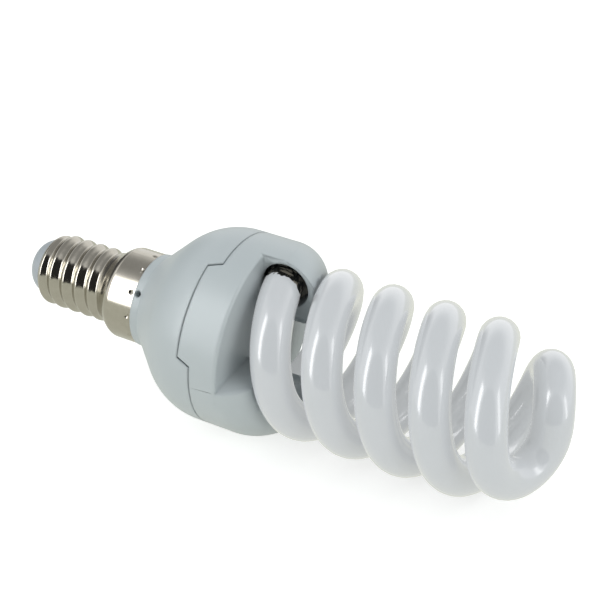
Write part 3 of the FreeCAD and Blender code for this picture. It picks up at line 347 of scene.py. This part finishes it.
# Tones, and sizes of the patterns in millimetres
glass = {
    "coat": "91949A",
    "shade": "8A8E93",
    "cloud": 5.0,
    "cloudDetail": 3.0,
    "roughness": 0.22,
    "ior": 1.5,
    "glow": 0.355,
    "glowOnOthers": 0.05,
    "glowTint": (0.97, 1.0, 1.0),
    "coatRoughness": 0.02,
    "glassIor": 1.52,
    # bare glass tone: painted shade, dark for the inside of the tube seen through the clear glass
    "bare": "1C1C1A",
    "bareRoughness": 0.03,
    "streak": "8A8478",
    "streakSize": 1.0,
    "streakDetail": 4.0,
    "streakDrawn": (0.4, 1.5, 1.5),
    "streakFrom": 0.52,
    "streakTo": 0.62,
    "edge": 0.9,
    "ragged": 1.1,
    "tatter": 1.2,
    "tatterDetail": 5.0,
    "edgeBlur": 0.05,
}


def makePhosphorGlass():
    # clear soda glass over a white powder coat on its inner wall: the powder sets the colour
    # out to the very edge, and the glass lays a sharp reflection over it; the coat is thin, so
    # light from all round comes through it, which a faint glow stands for
    material, tree, shader = newMaterial("phosphorGlass")
    coords = addNode(tree, "ShaderNodeTexCoord")
    cloud = addNode(tree, "ShaderNodeTexNoise", Vector=coords.outputs["Object"],
                    Scale=perMetre(glass["cloud"]), Detail=glass["cloudDetail"])
    powder = addNode(tree, "ShaderNodeMix", {"data_type": "RGBA"}, Factor=cloud.outputs[0],
                     in6=hexColour(glass["shade"]), in7=hexColour(glass["coat"]))
    tree.links.new(powder.outputs[2], shader.inputs["Base Color"])
    shader.inputs["Roughness"].default_value = glass["roughness"]
    shader.inputs["IOR"].default_value = glass["ior"]
    shader.inputs["Emission Color"].default_value = (*glass["glowTint"], 1)
    rays = addNode(tree, "ShaderNodeLightPath")
    glow = addNode(tree, "ShaderNodeMapRange", Value=rays.outputs["Is Diffuse Ray"],
                   To_Min=glass["glow"], To_Max=glass["glowOnOthers"])
    tree.links.new(glow.outputs[0], shader.inputs["Emission Strength"])
    shader.inputs["Coat Weight"].default_value = 1.0
    shader.inputs["Coat Roughness"].default_value = glass["coatRoughness"]
    shader.inputs["Coat IOR"].default_value = glass["glassIor"]
    # inside the mouth the coat ends in a ragged edge, and bare glass follows, with lighter streaks
    # over a near black tone that is painted shade for the tube's dark inside
    mouth = addNode(tree, "ShaderNodeAttribute", {"attribute_name": "fromMouth"})
    drawn = addNode(tree, "ShaderNodeMapping", Vector=coords.outputs["Object"],
                    Scale=glass["streakDrawn"])
    streaks = addNode(tree, "ShaderNodeTexNoise", Vector=drawn.outputs[0],
                      Scale=perMetre(glass["streakSize"]), Detail=glass["streakDetail"])
    streaked = addNode(tree, "ShaderNodeMapRange", {"interpolation_type": "SMOOTHSTEP"},
                       Value=streaks.outputs[0], From_Min=glass["streakFrom"],
                       From_Max=glass["streakTo"])
    paintedDarkInside = addNode(tree, "ShaderNodeMix", {"data_type": "RGBA"}, Factor=streaked.outputs[0],
                    in6=hexColour(glass["bare"]), in7=hexColour(glass["streak"]))
    bare = addNode(tree, "ShaderNodeBsdfPrincipled", Base_Color=paintedDarkInside.outputs[2],
                   Roughness=glass["bareRoughness"], IOR=glass["glassIor"])
    tatters = addNode(tree, "ShaderNodeTexNoise", Vector=coords.outputs["Object"],
                      Scale=perMetre(glass["tatter"]), Detail=glass["tatterDetail"])
    ragged = addNode(tree, "ShaderNodeMath", {"operation": "MULTIPLY_ADD"},
                     in0=tatters.outputs[0], in1=glass["ragged"] * 2,
                     in2=-glass["ragged"] - glass["edge"])
    reach = addNode(tree, "ShaderNodeMath", {"operation": "ADD"}, in0=mouth.outputs["Fac"],
                    in1=ragged.outputs[0])
    covered = addNode(tree, "ShaderNodeMapRange", Value=reach.outputs[0],
                      From_Min=-glass["edgeBlur"], From_Max=glass["edgeBlur"])
    mixed = addNode(tree, "ShaderNodeMixShader", Fac=covered.outputs[0], in1=bare.outputs[0],
                    in2=shader.outputs[0])
    tree.links.new(mixed.outputs[0], tree.nodes["Material Output"].inputs["Surface"])
    return material


dischargeTube = makeDischargeTube()
dress(dischargeTube, makePhosphorGlass())
print("discharge tube made")

# Upper housing: the moulding again, with a tighter rim round its recesses than its solid has;
# edges are smooth under the first angle, wall faces lean less than the second, in degrees
rim = {
    "radius": 17.85,
    "height": 49.5,
    "wide": 3.0,
    "tight": 0.5,
    "slack": 0.03,
    "smoothUnder": 32,
    "wallWithin": 12,
    "floorLevel": 0.999,
}


def rimHeart(width):
    # middle of the rim's rounding, as distance from the axis and height
    return Vector((rim["radius"] - width, rim["height"] - width))


def trueNormal(piece, face, corner):
    # the round walls, the flat floor and the rim shade as the forms they are
    spot = piece.data.vertices[piece.data.loops[corner].vertex_index].co
    flat = math.hypot(spot.x, spot.y)
    outward = Vector((spot.x / flat, spot.y / flat, 0)) if flat > 1 else Vector((0, 0, 0))
    heart = rimHeart(rim["tight"])
    arm = Vector((flat, spot.z)) - heart
    middle = Vector((math.hypot(face.center.x, face.center.y), face.center.z))
    beyond = min(arm) > -rim["slack"] and min(middle - heart) > 0
    if beyond and abs(arm.length - rim["tight"]) < rim["slack"]:
        return (outward * arm.x + Vector((0, 0, arm.y))).normalized()
    nearest = min(math.hypot(*piece.data.vertices[index].co.xy) for index in face.vertices)
    if nearest > rim["radius"] - rim["slack"]:
        return outward
    facing = face.normal.dot(outward)
    if abs(facing) > math.cos(math.radians(rim["wallWithin"])):
        return outward * math.copysign(1, facing)
    if abs(face.normal.z) > rim["floorLevel"]:
        return Vector((0, 0, math.copysign(1, face.normal.z)))
    return piece.data.corner_normals[corner].vector


def tightenRim(piece):
    # the points of the wide rounding go to the tight one, each along its own radius
    wideHeart, tightHeart = rimHeart(rim["wide"]), rimHeart(rim["tight"])
    moved = 0
    for vertex in piece.data.vertices:
        flat = math.hypot(vertex.co.x, vertex.co.y)
        arm = Vector((flat, vertex.co.z)) - wideHeart
        if min(arm) < -rim["slack"] or abs(arm.length - rim["wide"]) > rim["slack"]:
            continue
        spot = tightHeart + arm.normalized() * rim["tight"]
        vertex.co.x *= spot.x / flat
        vertex.co.y *= spot.x / flat
        vertex.co.z = spot.y
        moved += 1
    return moved


def makeUpperHousing():
    cover = nodes["tube_cover"]
    piece = cover.copy()
    piece.data = cover.data.copy()
    piece.name = "upperHousing"
    piece.parent = None
    bpy.context.collection.objects.link(piece)
    piece.data.transform(layDown.inverted() @ cover.matrix_world)
    piece.matrix_world = Matrix.Identity(4)
    bpy.ops.object.select_all(action="DESELECT")
    piece.select_set(True)
    bpy.context.view_layer.objects.active = piece
    mergeDoubles()
    moved = tightenRim(piece)
    bpy.ops.object.shade_smooth_by_angle(angle=math.radians(rim["smoothUnder"]))
    normals = [None] * len(piece.data.loops)
    for face in piece.data.polygons:
        for corner in face.loop_indices:
            normals[corner] = turnDown @ trueNormal(piece, face, corner)
    piece.data.transform(layDown)
    piece.data.normals_split_custom_set(normals)
    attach(piece, "root")
    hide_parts("tube_cover")
    bpy.ops.object.select_all(action="DESELECT")
    print("upper housing made,", moved, "rim points moved")
    return piece


upperHousing = makeUpperHousing()
dress(upperHousing, housingPlastic)

# Camera as in the photograph: placed in the lamp's millimetres, lens given in pixels
view = {
    "place": (138.708, 195.411, 153.616),
    "right": (0.04932, -0.47277, 0.87980),
    "up": (0.85954, -0.42855, -0.27847),
    "focal": 1467.99,
    "picture": 600,
    "sensor": 36,
    "nearest": 0.01,
    "farthest": 20,
}
bpy.ops.object.camera_add()
camera = bpy.context.object
cameraRight, cameraUp = turnDown @ Vector(view["right"]), turnDown @ Vector(view["up"])
cameraTurn = Matrix((cameraRight, cameraUp, cameraRight.cross(cameraUp))).transposed()
camera.matrix_world = Matrix.Translation(layDown @ Vector(view["place"])) @ cameraTurn.to_4x4()
camera.data.sensor_width = view["sensor"]
camera.data.lens = view["focal"] / view["picture"] * view["sensor"]
camera.data.clip_start = view["nearest"]
camera.data.clip_end = view["farthest"]
bpy.context.scene.camera = camera

# Studio: a white table under even light, with what the shiny parts reflect round it
studio = {
    "floorSize": 6.0,
    "floorSink": 0.0001,
    "floorTone": "E4E4E0",
    "floorRoughness": 0.9,
    "floorShine": 0.1,
    "floorGlow": 0.62,
    "floorMirrored": (0.70, 0.71, 0.63),
    "tableGlow": 0.16,
    "tableTint": (1, 0.99, 0.92),
    "dayLight": 0.58,
    "dayTint": (0.94, 0.985, 1.0),
    "mirrored": 1.15,
    "lampAim": (0, 0, 0.018),
    "stripFade": (0.42, 0.12),
}
# darker parts of what is reflected: the ceiling, the dark room and the far left
patches = [
    {"towards": (0.0, 0.216, 0.976), "spread": 40, "soft": 16, "level": 0.40},
    {"towards": (0.402, -0.862, 0.309), "spread": 45, "soft": 3, "level": 0.03},
    {"towards": (-0.94, 0.30, 0.12), "spread": 28, "soft": 8, "level": 0.10},
]
lamps = {
    "keyLamp": {"place": (-0.45, -1.0, 0.6), "size": (0.5, 1.0), "power": 1.6},
    "sideLamp": {"place": (1.1, -0.45, 0.45), "size": (0.6, 0.8), "power": 2.2},
    "topLamp": {"place": (0.25, 0.25, 1.0), "size": (1.0, 1.0), "power": 2.3},
    "leftLamp": {"place": (-1.1, -0.55, 0.12), "size": (0.5, 0.3), "power": 2.0},
}
strips = {
    "keyFace": {"place": (-0.58, -0.84, 0.58), "size": (0.50, 1.35), "shine": 6.5},
    "sideFace": {"place": (1.2, 0.03, 0.36), "size": (0.42, 1.0), "shine": 4.0},
}


def seenThrough(tree, rays):
    # one for what the camera sees, straight or through glass
    return addNode(tree, "ShaderNodeMath", {"operation": "MAXIMUM"},
                   in0=rays.outputs["Is Camera Ray"], in1=rays.outputs["Is Transmission Ray"])


def makeFloor():
    # the camera sees it white, with the lamp's shadow; reflections see a beige table
    bpy.ops.mesh.primitive_plane_add(size=studio["floorSize"],
                                     location=(0, 0, -studio["floorSink"]))
    floor = bpy.context.object
    floor.name = "floor"
    material, tree, shader = newMaterial("whiteFloor")
    shader.inputs["Base Color"].default_value = hexColour(studio["floorTone"])
    shader.inputs["Roughness"].default_value = studio["floorRoughness"]
    shader.inputs["Specular IOR Level"].default_value = studio["floorShine"]
    glow = addNode(tree, "ShaderNodeEmission", Color=(1, 1, 1, 1), Strength=studio["floorGlow"])
    white = addNode(tree, "ShaderNodeAddShader", in0=shader.outputs[0], in1=glow.outputs[0])
    beige = addNode(tree, "ShaderNodeEmission", Color=(*studio["floorMirrored"], 1),
                    Strength=1.0)
    rays = addNode(tree, "ShaderNodeLightPath")
    lookedAt = seenThrough(tree, rays)
    warm = addNode(tree, "ShaderNodeEmission", Color=(*studio["tableTint"], 1),
                   Strength=studio["tableGlow"])
    lit = addNode(tree, "ShaderNodeAddShader", in0=shader.outputs[0], in1=warm.outputs[0])
    shown = addNode(tree, "ShaderNodeMixShader", Fac=lookedAt.outputs[0], in1=lit.outputs[0],
                    in2=white.outputs[0])
    both = addNode(tree, "ShaderNodeMixShader", Fac=rays.outputs["Is Glossy Ray"],
                   in1=shown.outputs[0], in2=beige.outputs[0])
    tree.links.new(both.outputs[0], tree.nodes["Material Output"].inputs["Surface"])
    dress(floor, material)


def skyPatch(tree, direction, patch, below):
    # a darker part of the surroundings, round one direction
    middle = Vector(patch["towards"]).normalized()
    facing = addNode(tree, "ShaderNodeVectorMath", {"operation": "DOT_PRODUCT"},
                     in0=direction, in1=middle)
    near, far = (math.cos(math.radians(patch["spread"] + d))
                 for d in (-patch["soft"], patch["soft"]))
    inside = addNode(tree, "ShaderNodeMapRange", {"interpolation_type": "SMOOTHSTEP"},
                     Value=facing.outputs["Value"], From_Min=far, From_Max=near)
    level = addNode(tree, "ShaderNodeMix", Factor=inside.outputs[0], in2=below,
                    in3=patch["level"])
    return level.outputs[0]


def makeWorld():
    # white behind the lamp, a cool even light on it, and a room that only reflections see
    world = bpy.data.worlds.new("studioRoom")
    bpy.context.scene.world = world
    world.use_nodes = True
    tree = world.node_tree
    direction = addNode(tree, "ShaderNodeTexCoord").outputs["Generated"]
    room = studio["mirrored"]
    for patch in patches:
        room = skyPatch(tree, direction, patch, room)
    rays = addNode(tree, "ShaderNodeLightPath")
    lookedAt = seenThrough(tree, rays)
    level = addNode(tree, "ShaderNodeMapRange", Value=lookedAt.outputs[0],
                    To_Min=studio["dayLight"], To_Max=1.0)
    level = addNode(tree, "ShaderNodeMix", Factor=rays.outputs["Is Glossy Ray"],
                    in2=level.outputs[0], in3=room)
    tint = addNode(tree, "ShaderNodeMix", {"data_type": "RGBA"},
                   Factor=rays.outputs["Is Diffuse Ray"], in6=(1, 1, 1, 1),
                   in7=(*studio["dayTint"], 1))
    background = tree.nodes["Background"]
    tree.links.new(level.outputs[0], background.inputs["Strength"])
    tree.links.new(tint.outputs[2], background.inputs["Color"])


def makeLamp(name, place, size, power):
    # a soft lamp that lights the scene, and that reflections don't see
    bpy.ops.object.light_add(type="AREA", location=place)
    lamp = bpy.context.object
    lamp.name = name
    lamp.data.shape = "RECTANGLE"
    lamp.data.size, lamp.data.size_y = size
    lamp.data.energy = power
    towards = Vector(studio["lampAim"]) - Vector(place)
    lamp.rotation_euler = towards.to_track_quat("-Z", "Y").to_euler()
    lamp.visible_glossy = False


def makeStrip(name, place, size, shine):
    # the face of a tall soft lamp, which only reflections see; it fades towards its ends
    bpy.ops.mesh.primitive_plane_add(size=1, location=(0, 0, 0))
    strip = bpy.context.object
    strip.name = name
    back = -Vector(place).normalized()
    across = Vector((0, 0, 1)).cross(back).normalized()
    stand = Matrix((across, back.cross(across), back)).transposed().to_4x4()
    strip.data.transform(Matrix.Translation(place) @ stand @ Matrix.Diagonal((*size, 1, 1)))
    material, tree, shader = newMaterial(name)
    coords = addNode(tree, "ShaderNodeTexCoord")
    parts = addNode(tree, "ShaderNodeSeparateXYZ", Vector=coords.outputs["UV"])
    fades = []
    for socket, edge in zip(parts.outputs, studio["stripFade"]):
        off = addNode(tree, "ShaderNodeMath", {"operation": "SUBTRACT"}, in0=socket, in1=0.5)
        off = addNode(tree, "ShaderNodeMath", {"operation": "ABSOLUTE"}, in0=off.outputs[0])
        fade = addNode(tree, "ShaderNodeMapRange", {"interpolation_type": "SMOOTHSTEP"},
                       Value=off.outputs[0], From_Min=0.5, From_Max=0.5 - edge)
        fades.append(fade.outputs[0])
    lit = addNode(tree, "ShaderNodeMath", {"operation": "MULTIPLY"}, in0=fades[0], in1=fades[1])
    glow = addNode(tree, "ShaderNodeEmission", Color=(1, 1, 1, 1), Strength=shine)
    clear = addNode(tree, "ShaderNodeBsdfTransparent")
    face = addNode(tree, "ShaderNodeMixShader", Fac=lit.outputs[0], in1=clear.outputs[0],
                   in2=glow.outputs[0])
    tree.links.new(face.outputs[0], tree.nodes["Material Output"].inputs["Surface"])
    dress(strip, material)
    strip.visible_camera = False
    strip.visible_diffuse = False
    strip.visible_shadow = False
    strip.visible_transmission = False


makeFloor()
makeWorld()
for name, lamp in lamps.items():
    makeLamp(name, lamp["place"], lamp["size"], lamp["power"])
for name, strip in strips.items():
    makeStrip(name, strip["place"], strip["size"], strip["shine"])
bpy.context.scene.view_settings.view_transform = "Standard"
print("studio made")
